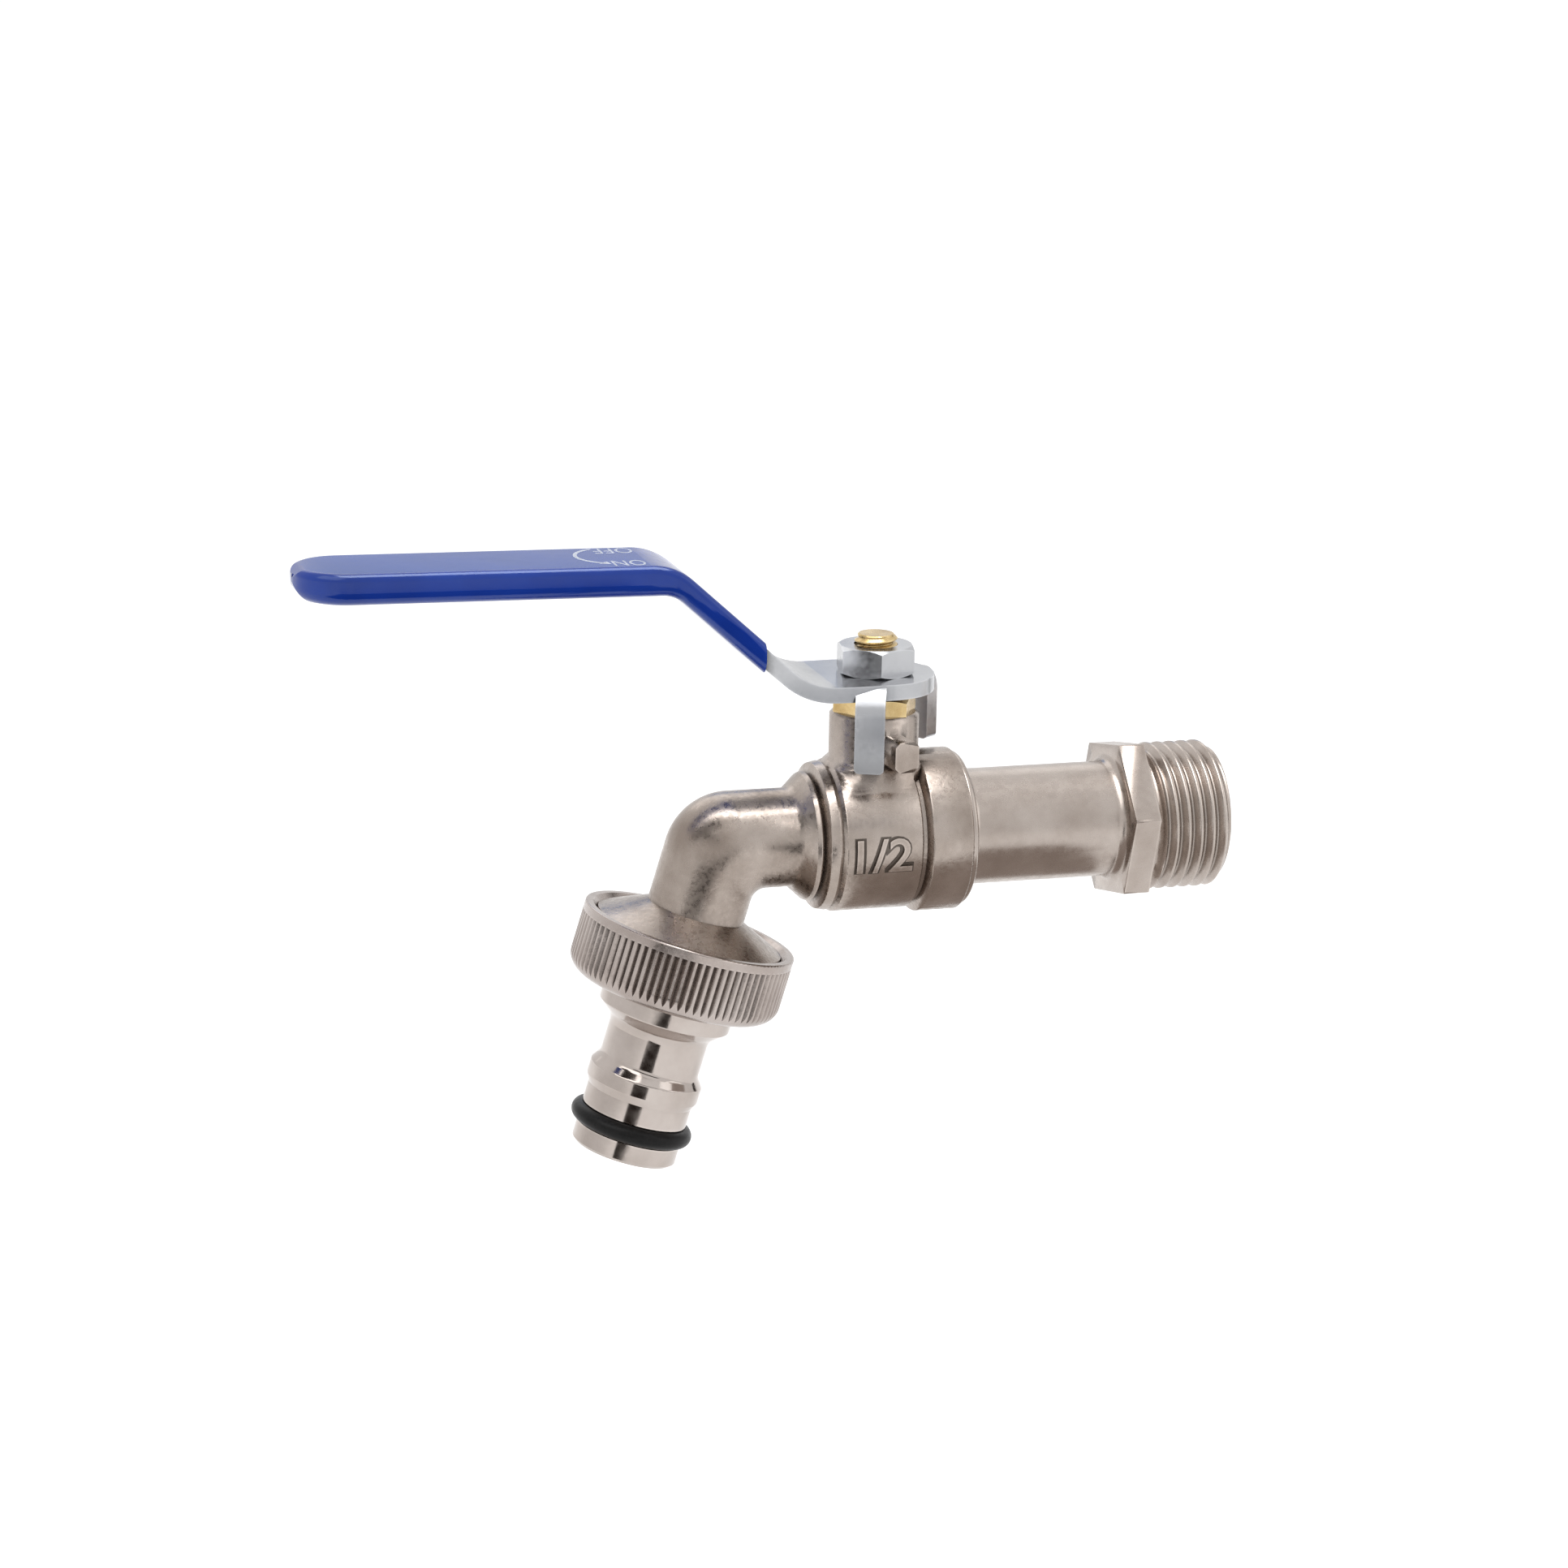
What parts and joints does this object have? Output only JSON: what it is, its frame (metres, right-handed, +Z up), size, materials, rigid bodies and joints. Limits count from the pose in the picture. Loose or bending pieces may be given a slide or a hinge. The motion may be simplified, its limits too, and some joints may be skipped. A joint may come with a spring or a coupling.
{
  "type": "single outlet lever garden tap",
  "caption": "Nickel-plated garden tap: a blue-sleeved lever turns a ball valve in the barrel, and a bent spout holds a hose nozzle with a knurled union nut.",
  "frame": {"origin": "on the inlet axis, at the hexagon's shoulder where the inlet thread starts", "axes": "+X along the inlet thread towards the wall, +Z up the stem, -X along the barrel to the spout"},
  "size_m": [0.1318, 0.0302, 0.0873],
  "materials": {
    "nickel_cast": "sandblasted nickel plate",
    "nickel_turned": "smooth nickel plate",
    "ball_plate": "polished",
    "seat_plastic": "smooth",
    "stem_brass": "turned",
    "gland_brass": "turned",
    "zinc_plate": "zinc plated",
    "blue_sleeve": "dipped, satin",
    "nickel_polished": "polished nickel plate",
    "black_rubber": "matte"
  },
  "bodies": {
    "valve_body": {"body": "nickel_cast", "inlet_tail": "nickel_turned", "seat_ring_inlet": "seat_plastic", "seat_ring_outlet": "seat_plastic", "stem_thrust_washer": "seat_plastic", "stem_packing": "seat_plastic", "gland_nut": "gland_brass"},
    "lever_set": {"lever": "zinc_plate", "lever_sleeve": "blue_sleeve", "handle_nut": "zinc_plate", "stem": "stem_brass", "ball": "ball_plate"},
    "nozzle_set": {"hose_nozzle": "nickel_polished", "nozzle_washer": "black_rubber", "nozzle_o_ring": "black_rubber"},
    "union": {"union_nut": "nickel_turned"}
  },
  "joints": [
    {"name": "lever_turn", "type": "hinge", "parent": "valve_body", "child": "lever_set", "pos_m": [-0.03879, 0, 0], "axis": [0, 0, -1], "range_deg": [0, 90]},
    {"name": "nozzle_draw", "type": "slide", "parent": "valve_body", "child": "nozzle_set", "axis": [-0.2823, 0, -0.9593], "range_m": [0, 0.0046]},
    {"name": "collar_turn", "type": "hinge", "parent": "nozzle_set", "child": "union", "pos_m": [-0.06119, 0, 0], "axis": [-0.2823, 0, -0.9593], "range_deg": [0, 900]}
  ],
  "couplings": [
    {"joint": "nozzle_draw", "follows": "collar_turn", "m_per_rad": 0.00028871}
  ]
}
